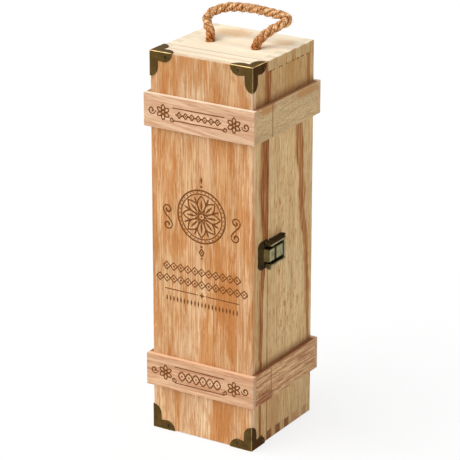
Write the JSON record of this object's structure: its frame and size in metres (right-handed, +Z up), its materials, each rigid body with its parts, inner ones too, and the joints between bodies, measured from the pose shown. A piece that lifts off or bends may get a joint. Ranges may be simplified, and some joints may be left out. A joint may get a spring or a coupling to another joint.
{
  "type": "wooden bottle box",
  "caption": "Upright wooden presentation box for a bottle, with a hinged front lid, two flat bands, metal corner guards, a side latch and a rope handle.",
  "frame": {"origin": "centre of the box's footprint, on the wooden underside, without its bands", "axes": "+X to the viewer's right as the lid is seen from the front, +Y from the lid to the back, +Z up along the height"},
  "size_m": [0.1174, 0.111, 0.3816],
  "materials": {
    "front_wood": "satin",
    "side_wood": "satin",
    "pale_wood": "satin",
    "band_wood": "satin",
    "bronze": "aged",
    "worn_bronze": "worn",
    "rope": "fibrous"
  },
  "bodies": {
    "base": {"base_back_panel": "side_wood", "base_left_side": "side_wood", "base_right_side": "side_wood", "base_top_board": "pale_wood", "base_bottom_board": "side_wood", "base_upper_band_left": "band_wood", "base_upper_band_right": "band_wood", "base_upper_band_back": "band_wood", "base_lower_band_left": "band_wood", "base_lower_band_right": "band_wood", "base_lower_band_back": "band_wood", "rope_handle": "rope", "rope_knot_left": "rope", "rope_knot_right": "rope", "latch_hinge_plate": "bronze", "latch_hinge_nails": "bronze", "latch_pin": "bronze", "upper_hinge_base_leaf": "bronze", "upper_hinge_pin": "bronze", "lower_hinge_base_leaf": "bronze", "lower_hinge_pin": "bronze", "hinge_base_nails": "bronze"},
    "lid": {"lid_front_panel": "front_wood", "lid_left_side": "side_wood", "lid_right_side": "side_wood", "lid_top_strip": "pale_wood", "lid_bottom_strip": "side_wood", "lid_upper_band_left": "band_wood", "lid_upper_band_right": "band_wood", "lid_upper_band_front": "band_wood", "lid_lower_band_left": "band_wood", "lid_lower_band_right": "band_wood", "lid_lower_band_front": "band_wood", "guard_top_left": "bronze", "guard_top_right": "bronze", "guard_bottom_left": "bronze", "guard_bottom_right": "bronze", "guard_nails": "bronze", "latch_catch_plate": "bronze", "latch_catch_nails": "bronze", "upper_hinge_lid_leaf": "bronze", "lower_hinge_lid_leaf": "bronze", "hinge_lid_nails": "bronze"},
    "hasp": {"latch_hasp": "worn_bronze"}
  },
  "joints": [
    {"name": "lid_hinge", "type": "hinge", "parent": "base", "child": "lid", "pos_m": [-0.05745, -0.0257, 0.1785], "axis": [0, 0, -1], "range_deg": [0, 170]},
    {"name": "hasp_hinge", "type": "hinge", "parent": "base", "child": "hasp", "pos_m": [0.0543, -0.0041, 0.1785], "axis": [0, 0, 1], "range_deg": [0, 160]}
  ]
}
